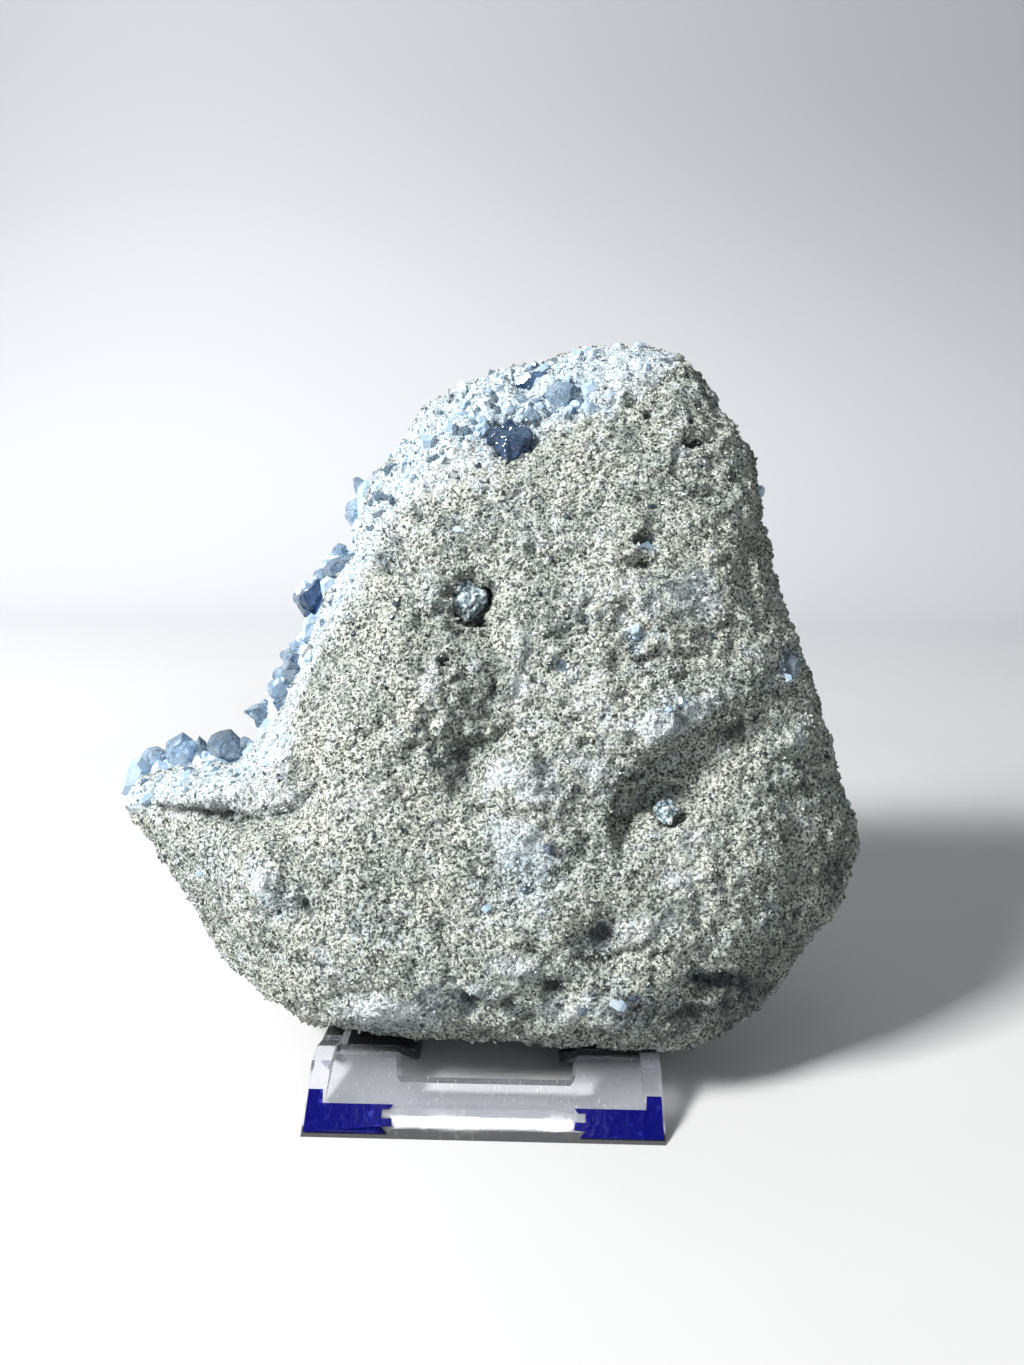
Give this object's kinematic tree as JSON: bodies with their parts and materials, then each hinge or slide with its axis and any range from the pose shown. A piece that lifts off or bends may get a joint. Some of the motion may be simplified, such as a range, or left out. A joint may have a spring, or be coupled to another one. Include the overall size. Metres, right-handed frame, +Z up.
{
  "type": "celestite cluster on a clear easel",
  "caption": "Broken piece of a crystal-lined geode, rock side to the front, leaning back on a clear one-piece easel with blue film on its front bar.",
  "frame": {"origin": "middle of the whole object's floor plan, at table height", "axes": "+X to the right as seen from the rock side, +Y to the back, towards the crystal side and the easel's leg, +Z up"},
  "size_m": [0.2298, 0.1628, 0.2141],
  "materials": {
    "rock": "rough, granular, grey-green to beige with a white rind along the crystals",
    "crystal": "clear pale blue to steel blue crystal faces",
    "clear_plastic": "clear moulded plastic, glossy with fine scratches",
    "blue_film": "thin navy film, slightly wrinkled"
  },
  "bodies": {
    "root": {"matrix": "rock", "celestite_druse": "crystal", "pocket_crystal_crevice": "crystal", "pocket_crystal_top": "crystal", "pocket_crystal_left": "crystal", "easel": "clear_plastic", "easel_film_left": "blue_film", "easel_film_right": "blue_film"}
  },
  "joints": []
}
